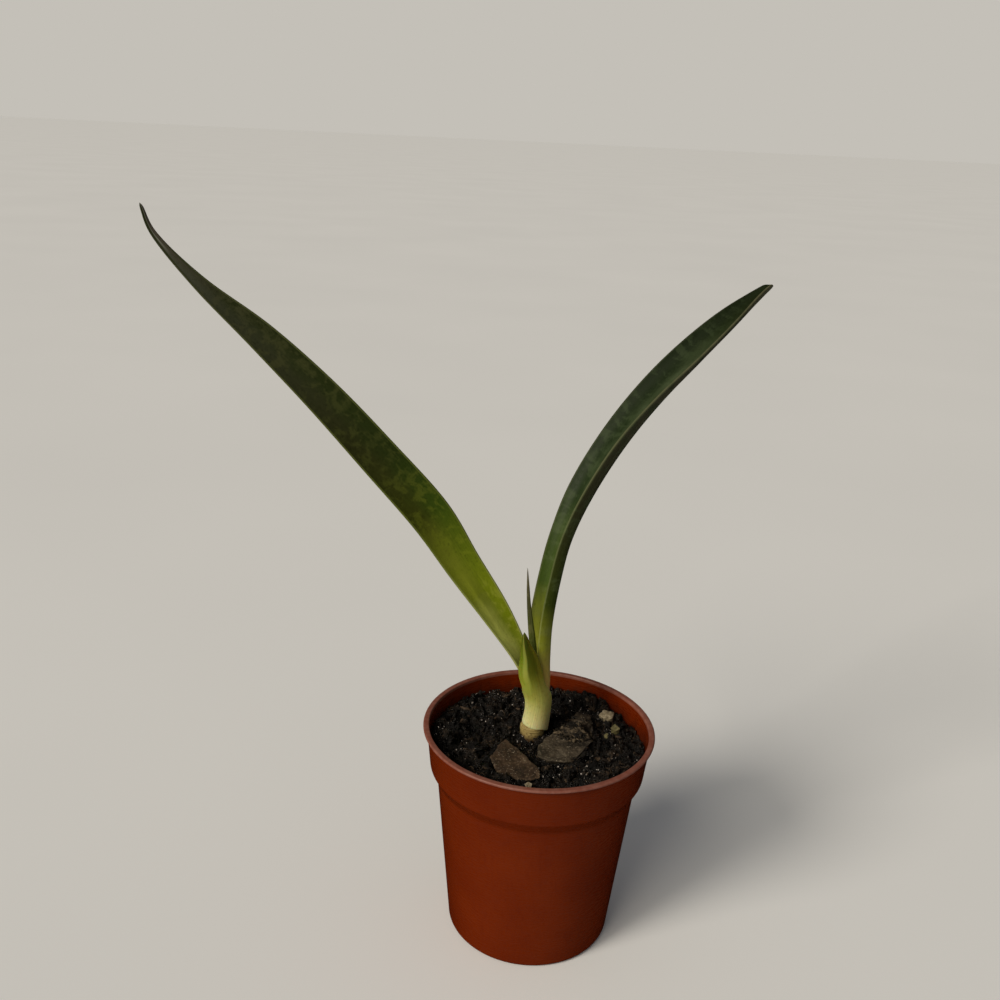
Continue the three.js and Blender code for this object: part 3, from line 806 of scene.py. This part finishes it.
def soil_mesh():
    """The bed of soil, a closed body whose higher places have a lighter tone, so that its crevices and
    hollows hold painted shade.
    """
    profile = [(0.0, FLOOR + GAP), (wall_r(FLOOR) - 1 - 2 * GAP, FLOOR + GAP),
               (wall_r(FLOOR + 1) - GAP, FLOOR + 1 + GAP), (wall_r(SHOULDER_Z) - GAP, SHOULDER_Z),
               (wall_r(COLLAR_Z) - GAP, COLLAR_Z)]
    hidden = 1 + (len(profile) - 1) * SOIL_SECTORS
    edge = wall_r(SOIL_Z) - GAP
    profile += [(edge * i / SOIL_RINGS, SOIL_Z) for i in range(SOIL_RINGS, -1, -1)]
    points, faces = lathe(profile, SOIL_SECTORS)
    tone = [0.0] * hidden
    for i in range(hidden, len(points)):
        x, y, _ = points[i]
        z = soil_top(x, y)
        points[i] = (x, y, z)
        # painted shade: the further the surface lies below the CAD surface, the darker its tone
        tone.append(min(max(TONE_LEVEL + TONE_RISE * (z - soil_height(x, y)), 0.0), TONE_MOST))
    return new_mesh("soil_bed", points, faces, {"tone": tone})


def ball(subdivisions):
    """Points and faces of a ball of radius 1."""
    bm = bmesh.new()
    bmesh.ops.create_icosphere(bm, subdivisions=subdivisions, radius=1.0)
    points = np.array([v.co[:] for v in bm.verts])
    faces = [tuple(v.index for v in f.verts) for f in bm.faces]
    bm.free()
    return points, faces


def inside(x, y, corners, margin):
    """True where (x, y) lies inside the outline of the corners, seen from above, grown by margin."""
    ring = np.array(corners)[:, :2]
    middle = ring.mean(axis=0)
    angle = np.arctan2(*(ring - middle).T[::-1])
    ring = ring[np.argsort(angle)]
    here = np.array([x, y])
    for p, q in zip(ring, np.roll(ring, -1, axis=0)):
        d = q - p
        if (d[0] * (here - p)[1] - d[1] * (here - p)[0]) / (np.linalg.norm(d) + 1e-9) < -margin:
            return False
    return True


def top_outline(corners):
    """Those corners of a chip that belong to its top, or all of them if few do."""
    top = [c for c in corners if c[2] > TOP_CORNER]
    return top if len(top) > 3 else corners


TOPS_ON_SOIL = [top_outline(c) for c in (STONE_LEFT, STONE_RIGHT, BARK_PIECE, CHIP_PALE, CHIP_TAN)]
HEAP_LIES_ON = [(top_outline(STONE_RIGHT), STONE_TOP), (top_outline(BARK_PIECE), BARK_TOP)]


def free_of_stones(x, y, margin=-0.3):
    """True where loose soil may lie: clear of the stem and of the stones, but for their rims."""
    if (x - STEM_X) ** 2 + (y - STEM_Y) ** 2 < STEM_CLEAR ** 2:
        return False
    return not any(inside(x, y, top, margin) for top in TOPS_ON_SOIL)


class Lumps:
    """Many small shapes gathered into one mesh, each with a tone."""

    def __init__(self):
        self.number = 0
        self.points, self.faces, self.tone = [], [], []

    def add(self, shape, faces, tone):
        self.faces += shifted(faces, len(self.points))
        self.points.extend(shape)
        self.tone += [tone] * len(shape)
        self.number += 1

    def mesh(self, name):
        return new_mesh(name, self.points, self.faces, {"tone": self.tone})


def random_turn(draw, axis, tilt):
    """A tilt within limits about a level axis, and any turn about the z axis."""
    return np.array(Matrix.Rotation(draw.uniform(*tilt), 3, axis)
                    @ Matrix.Rotation(draw.uniform(*ANY_TURN), 3, "Z"))


def random_lump(draw, base, sides, stretch, rough, seed):
    """The base ball with random sides, roughened. stretch makes the first side longer."""
    shape = base * (np.array((stretch, 1, 1)) * [draw.uniform(*limits) for limits in sides])
    return shape * (1 + rough * wobble(base * 1.4, 0.7, seed))[:, None]


def crumbs_mesh(name, seed, number, low, high, subdivisions, rough, tones, sink=0.25, stretch=1.0,
                thin=-1.0):
    """Lumps of soil from low to high in radius, scattered over the surface. sink is the part of the
    radius that they are lifted by. Stretched ones lie flat. thin, from -1 to 1, leaves bare patches."""
    draw = random.Random(seed)
    base, base_faces = ball(subdivisions)
    lumps = Lumps()
    while lumps.number < number:
        r = (wall_r(SOIL_Z) - MIDDLE_CLEAR) * sqrt(draw.random())
        x, y = polar(r, draw.uniform(0, tau))
        if not free_of_stones(x, y) or noise.noise(Vector((x * 0.22, y * 0.22, seed * 3.1))) < thin:
            continue
        size = low + (high - low) * draw.random() ** SMALL_FAVOURED
        if r + size > wall_r(SOIL_Z) - EDGE_CLEAR:
            continue
        turn = random_turn(draw, "Y", ANY_TURN if stretch == 1.0 else LYING)
        shape = random_lump(draw, base, CRUMB_SIDES, stretch, rough, lumps.number * 0.37 + seed)
        shape = shape * size @ turn + (x, y, soil_top(x, y) + size * sink)
        lumps.add(shape, base_faces, draw.choice(tones) + draw.uniform(-TONE_SPREAD, TONE_SPREAD))
    return lumps.mesh(name)


def heap_mesh(name, seed, number):
    """Crumbs of bark heaped over the far end of the right stone."""
    draw = random.Random(seed)
    base, base_faces = ball(2)
    lumps = Lumps()
    while lumps.number < number:
        out = draw.random() ** 0.6
        a = draw.uniform(0, tau)
        x = HEAP_X + HEAP_WIDE * out * cos(a)
        y = HEAP_Y + HEAP_DEEP * out * sin(a)
        size = draw.uniform(0.2, 0.75) * (1.15 - 0.4 * out)
        tops = [SOIL_Z + top for corners, top in HEAP_LIES_ON if inside(x, y, corners, 0.0)]
        ground = max([soil_top(x, y)] + tops)
        lift = HEAP_HEIGHT * (1 - out ** 2) * draw.random()
        shape = random_lump(draw, base, HEAP_SIDES, 1.0, 0.9, lumps.number * 0.41 + seed) * size
        shape = shape @ random_turn(draw, "X", HEAPED) + (x, y, ground + lift + 0.2 * size)
        lumps.add(shape, base_faces, draw.choice((0.2, 0.45, 0.7, 1.0)))
    return lumps.mesh(name)


def fibres_mesh(name, seed, number):
    """Short bent fibres of peat lying on the soil."""
    draw = random.Random(seed)
    fibres = Lumps()
    sides, steps = 5, 7
    while fibres.number < number:
        x, y = polar(FIBRE_REACH * sqrt(draw.random()), draw.uniform(0, tau))
        if not free_of_stones(x, y, 0.0):
            continue
        heading = draw.uniform(0, tau)
        bend = draw.uniform(-0.5, 0.5)
        thick = draw.uniform(0.06, 0.14)
        stride = draw.uniform(0.35, 0.8)
        lift = draw.uniform(0.1, 0.5)
        points = []
        for i in range(steps):
            if hypot(x, y) > wall_r(SOIL_Z) - 0.8:
                heading += pi / 2
            z = soil_top(x, y) + 0.15 + lift * sin(pi * i / (steps - 1))
            width = thick * (0.35 + 0.65 * sin(pi * (i + 0.5) / steps))
            normal = np.array([-sin(heading), cos(heading), 0.0])
            for j in range(sides):
                b = tau * j / sides
                points.append(np.array([x, y, z]) + normal * width * cos(b)
                              + np.array([0, 0, width * sin(b)]))
            x += stride * cos(heading)
            y += stride * sin(heading)
            heading += bend * draw.uniform(0.4, 1.2)
        fibres.add(points, loft_faces(steps, sides), draw.uniform(0.3, 0.9))
    return fibres.mesh(name)


# ---- stones, bark and chips ----
def chip_mesh(name, corners, voxel, rough, chipped, seed):
    """A convex chip, broken into facets of two sizes, most of all along its edges, and dented."""
    bm = bmesh.new()
    for x, y, h in corners:
        bm.verts.new((x * MM, y * MM, (SOIL_Z + h) * MM))
    bmesh.ops.convex_hull(bm, input=bm.verts)
    hull = bpy.data.meshes.new(name + "_hull")
    bm.to_mesh(hull)
    bm.free()
    mesh = evaluated(hull, ("REMESH", {"mode": "VOXEL", "voxel_size": voxel * MM}),
                     ("SMOOTH", {"factor": 0.5, "iterations": 2}))
    soft = evaluated(mesh, ("SMOOTH", {"factor": 0.5, "iterations": 12}))
    points, rounded = (np.array([v.co[:] for v in m.vertices]) / MM for m in (mesh, soft))
    normals = np.array([v.normal[:] for v in mesh.vertices])
    edge = np.clip(((points - rounded) * normals).sum(1) / (1.2 * voxel), 0, 1)
    shift = Vector((seed * 3.3, seed * 1.7, seed * 2.9))
    large, small = (np.array([noise.voronoi(Vector(p) / size + shift)[0][0] for p in points])
                    for size in FACETS)
    out = rough * (0.7 * wobble(points, DENTS[0], seed) + 0.3 * wobble(points, DENTS[1], seed + 2))
    out += chipped * (FACET_MEAN - large + 0.35 * (FACET_MEAN - small)) * (0.4 + 0.6 * edge)
    mesh.vertices.foreach_set("co", ((points + normals * out[:, None]) * MM).ravel())
    add_attribute(mesh, "edge", edge)
    return mesh


# ---- rhizome ----
def rhizome_mesh():
    """The nub at the foot of the leaves, and its roots."""
    smooth = along(NUB_OUTLINE[1:-1], np.linspace(0, len(NUB_OUTLINE) - 3, NUB_RINGS))
    points, faces = lathe([NUB_OUTLINE[0], *smooth, NUB_OUTLINE[-1]], NUB_SECTORS)
    points = np.array(points)
    bumps = wobble(points, 1.4, 3) * 0.12 + wobble(points * np.array([0.3, 0.3, 3.0]), 1.0, 5) * 0.08
    out = points * np.array([1, 1, 0])
    points += out / (np.linalg.norm(out, axis=1, keepdims=True) + 1e-6) * bumps[:, None]
    points[:, 0] += 0.05 * points[:, 2]
    points += (STEM_X, STEM_Y, NUB_Z)
    points = points.tolist()
    steps, sides = 14, 12
    for i in range(ROOT_COUNT):
        spread = ROOT_SPREAD if i < ROOT_COUNT - 1 else 0.0
        dx, dy = polar(spread, tau * i / (ROOT_COUNT - 1))
        length = ROOT_LENGTH - ROOT_SHORTER * (i % 3)
        faces += shifted(loft_faces(steps, sides), len(points))
        for s in range(steps):
            f = s / (steps - 1)
            z = NUB_Z - ROOT_HEAD - length * f
            points += [(STEM_X + dx + x, STEM_Y + dy + y, z)
                       for x, y, z in circle(ROOT_R * (1 - 0.5 * f), z, sides)]
    return new_mesh("rhizome_body", points, faces)


# ---- everything in place ----
plastic = pot_plastic()
piece("pot_moulding", pot_mesh(), plastic, "pot", sharp=40)

earth = soil_skin("moist_peat", (2, 1, 1), (15, 11, 8), (64, 50, 39))
clods = soil_skin("peat_crumbs", (4, 2, 2), (23, 17, 12), (86, 70, 54))
piece("soil_bed", soil_mesh(), earth, "soil")
for name, sharp, row in (
        ("soil_clods", 35, (11, 80, 0.7, 2.0, 3, 1.0, (0.05, 0.15, 0.3))),
        ("soil_crumbs", 30, (12, 950, 0.15, 0.75, 2, 1.0, (0.0, 0.1, 0.2, 0.4, 0.9), 0.25, 1.0, -0.12)),
        ("soil_shreds", 30, (15, 400, 0.2, 0.55, 2, 0.8, (0.0, 0.1, 0.25, 0.7), 0.5, 3.2, -0.1))):
    piece(name, crumbs_mesh(name, *row), clods, "soil", sharp)
piece("soil_fibres", fibres_mesh("soil_fibres", 13, 190), clods, "soil")
# pale glossy grains on the soil: partly real mineral grains, partly painted glints of the moist peat
sparkle = Paint("grains_and_painted_glints", Roughness=0.3)
shine = sparkle.noise(sparkle.place(), 2.0)
glint_grains = sparkle.finish(sparkle.ramp(shine, (0.35, 110, 100, 92), (0.6, 226, 218, 212)))
piece("soil_grains_and_glints", crumbs_mesh("soil_grains_and_glints", 14, 620, 0.05, 0.27, 1, 0.4, (0.5,), 0.7, thin=0.05),
      glint_grains, "soil", sharp=20)

brown_slate = slate_skin("brown_slate", (34, 25, 17), (66, 50, 36), (112, 94, 74))
grey_slate = slate_skin("grey_slate", (32, 27, 21), (70, 61, 49), (116, 106, 90))
bark = slate_skin("bark", (18, 14, 10), (46, 38, 29), (86, 74, 58))
pale_wood = slate_skin("pale_chip", (70, 58, 42), (140, 128, 104), (190, 180, 156))
green_wood = slate_skin("green_chip", (62, 58, 36), (104, 98, 64), (146, 138, 102))
crumbled = soil_skin("bark_crumbs", (12, 10, 7), (44, 37, 28), (112, 98, 78))


def chip(name, corners, voxel, rough, chipped, seed, material, node, sharp):
    piece(name, chip_mesh(name, corners, voxel, rough, chipped, seed), material, node, sharp)


chip("slate_left", STONE_LEFT, 0.22, 0.3, 0.9, 1, brown_slate, "stone_left", 38)
chip("slate_right", STONE_RIGHT, 0.22, 0.25, 0.8, 2, grey_slate, "stone_right", 38)
chip("bark_lump", BARK_PIECE, 0.16, 0.6, 1.3, 3, bark, "bark_piece", 50)
piece("bark_crumbs", heap_mesh("bark_crumbs", 21, 480), crumbled, "bark_piece", 30)
chip("pale_chip", CHIP_PALE, 0.13, 0.35, 0.5, 4, pale_wood, "chip_pale", 45)
chip("tan_chip", CHIP_TAN, 0.11, 0.25, 0.4, 5, green_wood, "chip_tan", 45)
chip("small_chip", CHIP_SMALL, 0.1, 0.2, 0.3, 6, green_wood, "chip_small", 45)
chip("front_pebble", PEBBLE_FRONT, 0.1, 0.12, 0.15, 7, pale_wood, "pebble_front", 50)

piece("rhizome_body", rhizome_mesh(), rhizome_skin(), "rhizome")

# Of two lists of stops, the first is for the margin at k = -1.
left_skin = leaf_skin(
    "left_leaf_skin",
    # first inner list, for the lower margin: its pale lime by the foot is partly the leaf's own colour,
    # partly painted light where it lies in shade; its grey towards the tip is partly its own tone, partly
    # painted sheen
    inner=([(0.05, 206, 208, 130), (0.17, 230, 236, 122), (0.25, 148, 158, 42), (0.4, 56, 62, 8),
            (0.55, 42, 45, 14), (0.82, 50, 54, 36), (0.95, 74, 76, 64)],
           [(0.05, 180, 188, 80), (0.17, 112, 126, 10), (0.25, 110, 124, 8), (0.4, 52, 72, 3),
            (0.5, 36, 48, 6), (0.82, 38, 44, 16), (0.95, 70, 66, 56)]),
    outer=([(0.05, 196, 196, 140), (0.2, 130, 142, 60), (0.4, 58, 72, 16), (0.9, 42, 48, 20)],
           [(0.05, 196, 196, 140), (0.2, 130, 142, 60), (0.4, 50, 68, 14), (0.9, 38, 46, 18),
            (0.96, 74, 68, 58)]),
    pale=[(0.1, 200, 200, 96), (0.28, 118, 130, 20), (0.5, 66, 72, 24), (0.9, 62, 62, 42)],
    bands=[(0.1, 0.3), (0.3, 0.5), (0.85, 0.6), (0.97, 0.2)],
    margin=[(0, 190, 194, 116), (0.35, 104, 112, 44), (0.9, 88, 90, 62)],
    pitch=(0.28, 0.26), edges=(0.5, 0.5),
    stripes=[(True, -0.2, 0.15, 0.25, srgb(78, 88, 6), [(0.17, 0), (0.23, 0.55), (0.32, 0)]),
             # whitish streak near the tip: a dry streak with a painted glint on it
             (True, -0.3, 0.3, 0.3, srgb(160, 162, 150), [(0.92, 0), (0.945, 0.3), (0.97, 0.1)])])
right_skin = leaf_skin(
    "right_leaf_skin",
    inner=([(0.03, 206, 200, 130), (0.17, 170, 176, 64), (0.28, 66, 86, 28), (0.45, 32, 48, 18),
            (0.7, 28, 40, 18), (0.95, 28, 38, 18)],
           # inner list for the near margin at k = 1, pale and grey from 0.27 to 0.75: painted sheen on the
           # near wing
           [(0.03, 206, 200, 130), (0.17, 156, 164, 54), (0.27, 100, 116, 58), (0.45, 80, 94, 66),
            (0.75, 74, 86, 60), (0.86, 40, 50, 26), (0.97, 30, 36, 18)]),
    outer=([(0, 200, 190, 136), (0.1, 160, 140, 74), (0.18, 108, 110, 38), (0.28, 60, 68, 18),
            (0.5, 40, 46, 28), (0.9, 46, 48, 36)],
           # outer list for k = 1, greying towards the tip: partly the leaf's own tone, partly a painted
           # grazing reflection on the near wing's outer face
           [(0, 206, 190, 120), (0.09, 190, 160, 82), (0.17, 140, 146, 40), (0.25, 60, 74, 6),
            (0.45, 60, 62, 36), (0.7, 80, 80, 60), (0.95, 90, 90, 68)]),
    pale=[(0.1, 160, 166, 96), (0.3, 84, 100, 56), (0.5, 62, 76, 48), (0.9, 50, 62, 38)],
    bands=[(0.12, 0.1), (0.3, 0.5), (0.8, 0.7), (0.96, 0.3)],
    margin=[(0, 190, 188, 130), (0.3, 120, 130, 88), (0.9, 84, 88, 62)],
    pitch=(0.3, 0.14), edges=(0.15, 0.3),
    # the dark stripe on the outer face along the near margin is painted shade under the margin
    stripes=[(False, 0.8, 0.9, 0.08, srgb(32, 26, 8), [(0.2, 0), (0.35, 0.25), (0.9, 0.35)])])
sheath_skin = leaf_skin(
    "sheath_leaf_skin",
    inner=([(0, 206, 206, 150), (0.4, 160, 168, 84), (1, 74, 84, 14)],) * 2,
    outer=([(0, 222, 210, 148), (0.28, 184, 182, 92), (0.52, 136, 132, 34), (0.75, 104, 100, 10),
            (1, 66, 70, 4)],
           [(0, 232, 230, 176), (0.14, 218, 218, 150), (0.3, 188, 190, 92), (0.52, 140, 152, 48),
            (0.75, 104, 120, 14), (1, 60, 74, 2)]),
    pale=[(0, 206, 204, 150), (0.5, 140, 142, 62), (1, 90, 98, 24)],
    bands=[(0.3, 0.15), (1, 0.3)],
    margin=[(0, 214, 210, 150), (0.5, 168, 160, 110), (1, 140, 140, 70)],
    pitch=(0.2, 0.5), edges=(0.9, 0.5), streak=0.2,
    stripes=[(False, -0.45, 0.1, 0.25, srgb(48, 58, 0), [(0.36, 0), (0.6, 0.65), (0.95, 0.9)]),
             (False, 0.22, 0.42, 0.15, srgb(160, 168, 78), [(0.4, 0), (0.6, 0.7), (0.92, 0.3)])],
    Subsurface_Weight=0.35, Subsurface_Scale=2.0 * MM)
new_skin = leaf_skin(
    "new_leaf_skin",
    inner=([(0, 180, 180, 110), (1, 90, 84, 64)],) * 2,
    outer=([(0, 180, 180, 110), (0.5, 92, 104, 40), (0.75, 84, 88, 50), (1, 92, 84, 66)],
           [(0, 180, 180, 110), (0.5, 78, 88, 30), (0.75, 70, 72, 40), (1, 80, 72, 56)]),
    pale=[(0, 180, 180, 110), (1, 110, 104, 70)],
    bands=[(0, 0), (1, 0.3)],
    margin=[(0, 180, 180, 110), (1, 110, 104, 70)])
piece("left_blade", leaf_mesh("left_blade", LEFT_LEAF, LEFT_LEAN), left_skin, "left_leaf")
piece("right_blade", leaf_mesh("right_blade", RIGHT_LEAF, RIGHT_LEAN), right_skin, "right_leaf")
piece("sheath_blade", sheath_mesh(), sheath_skin, "sheath_leaf")
piece("rolled_blade", rolled_leaf_mesh("rolled_blade", NEW_LEAF), new_skin, "new_leaf")


# ---- stage ----
FLOOR_REACH = 40.0               # metres
BACKDROP = srgb(196, 192, 184)
LIGHT_ALL_ROUND = srgb(222, 221, 219)
LIGHT_STRENGTH = 0.22


def stage_floor():
    """A pale level floor, left out of reflections."""
    r = FLOOR_REACH
    mesh = bpy.data.meshes.new("floor")
    mesh.from_pydata([(-r, -r, 0), (r, -r, 0), (r, r, 0), (-r, r, 0)], [], [(0, 1, 2, 3)])
    mat = Paint("pale_floor", Roughness=0.9, Specular_IOR_Level=0.1)
    soft = mat.noise(mat.place(), 0.004, 2.0)
    mesh.materials.append(mat.finish(mat.ramp(soft, (0.3, 238, 241, 245), (0.7, 241, 244, 248))))
    floor = add_object("floor", mesh)
    floor.visible_glossy = False


def studio_world():
    """Soft pale light from all round, and a plain pale backdrop that only the camera sees."""
    world = bpy.data.worlds.new("studio")
    world.use_nodes = True
    nodes, links = world.node_tree.nodes, world.node_tree.links
    light, backdrop = nodes["Background"], nodes.new("ShaderNodeBackground")
    light.inputs["Color"].default_value = LIGHT_ALL_ROUND
    light.inputs["Strength"].default_value = LIGHT_STRENGTH
    backdrop.inputs["Color"].default_value = BACKDROP
    seen = nodes.new("ShaderNodeLightPath").outputs["Is Camera Ray"]
    mixed = nodes.new("ShaderNodeMixShader")
    for socket, value in enumerate((seen, light.outputs[0], backdrop.outputs[0])):
        links.new(value, mixed.inputs[socket])
    links.new(mixed.outputs[0], nodes["World Output"].inputs["Surface"])
    world.cycles_visibility.glossy = False
    scene.world = world


def sun(name, azimuth, elevation, softness, power, colour):
    """A distant lamp. Its light comes from azimuth, counted from +X towards +Y."""
    light = bpy.data.lights.new(name, "SUN")
    light.angle = radians(softness)
    light.energy = power
    light.color = colour[:3]
    made = add_object(name, light)
    a, e = radians(azimuth), radians(elevation)
    towards = Vector((*polar(cos(e), a), sin(e)))
    made.rotation_euler = towards.to_track_quat("Z", "Y").to_euler()
    made.location = towards


stage_floor()
studio_world()
sun("key", azimuth=-142.5, elevation=30, softness=20, power=1.8, colour=srgb(255, 244, 226))
sun("fill", azimuth=-124, elevation=40, softness=30, power=0.95, colour=srgb(255, 243, 222))
scene.view_settings.view_transform = "Standard"

# ---- camera ----
IMAGE_SIZE = 1000
FOCAL_PIXELS = 1063
SENSOR = 36.0
CLIP_START = 0.01
CAMERA_PLACE = Vector((-0.0128, -0.2404, 0.2015))
PITCH = radians(18.97)
ROLL = radians(2.74)
forward = Vector((0, cos(PITCH), -sin(PITCH)))
level_up = Vector((0, sin(PITCH), cos(PITCH)))
level_right = Vector((1, 0, 0))
right = level_right * cos(ROLL) + level_up * sin(ROLL)
up = level_up * cos(ROLL) - level_right * sin(ROLL)
camera_data = bpy.data.cameras.new("camera")
camera_data.sensor_width = SENSOR
camera_data.lens = FOCAL_PIXELS * SENSOR / IMAGE_SIZE
camera_data.clip_start = CLIP_START
camera = add_object("camera", camera_data)
turned = Matrix((right, up, -forward)).transposed().to_4x4()
camera.matrix_world = Matrix.Translation(CAMERA_PLACE) @ turned
scene.camera = camera
